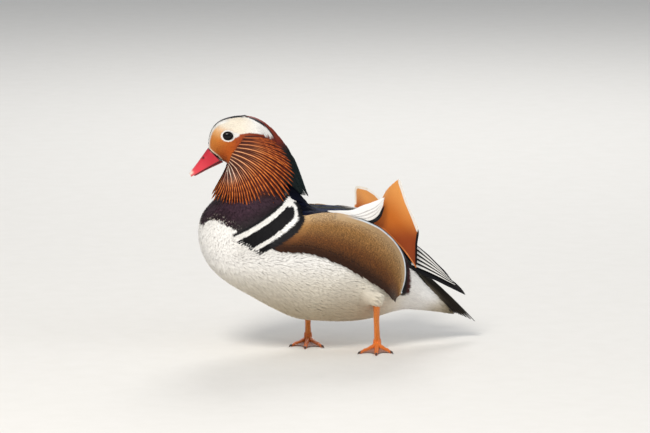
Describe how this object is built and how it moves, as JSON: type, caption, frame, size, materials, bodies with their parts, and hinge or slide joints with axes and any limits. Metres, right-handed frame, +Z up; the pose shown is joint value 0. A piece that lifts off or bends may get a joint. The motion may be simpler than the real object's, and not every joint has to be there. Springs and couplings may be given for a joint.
{
  "type": "mandarin duck",
  "caption": "Life-size mandarin drake, walking with neck drawn in, crest and cheek ruff laid back and both sail feathers raised.",
  "frame": {"origin": "on the floor under the middle of the bird's overall box, on its midline", "axes": "the bird faces -X, its left side is -Y, and +Z is up"},
  "size_m": [0.3102, 0.1399, 0.2508],
  "materials": {
    "body_feathers": "soft overlapping feathers, white below, maroon-black breast",
    "neck_feathers": "soft dark rust feathers",
    "head_feathers": "short soft feathers, buff face with a white brow",
    "crest_feathers": "silky long feathers, maroon to green-black",
    "ruff_feathers": "silky pointed hackles, rust with pale shafts",
    "flank_feathers": "fine-barred buff feathers",
    "wing_feathers": "firm dark glossy feathers",
    "sail_feathers": "firm orange feathers with a pale edge",
    "tail_feathers": "firm dark brown feathers",
    "bill": "smooth horn, satin",
    "eye": "wet and glossy",
    "leg_scales": "fine scaled skin, satin"
  },
  "bodies": {
    "root": {"torso": "body_feathers", "neck": "neck_feathers", "head": "head_feathers", "bill_upper": "bill", "bill_lower": "bill", "eye_left": "eye", "eye_right": "eye", "crest": "crest_feathers", "ruff_left": "ruff_feathers", "ruff_right": "ruff_feathers", "flank_left": "flank_feathers", "flank_right": "flank_feathers", "wing_left": "wing_feathers", "wing_right": "wing_feathers", "sail_left": "sail_feathers", "sail_right": "sail_feathers", "tail": "tail_feathers", "thigh_left": "body_feathers", "thigh_right": "body_feathers", "tarsus_left": "leg_scales", "tarsus_right": "leg_scales", "foot_left": "leg_scales", "foot_right": "leg_scales"}
  },
  "joints": []
}
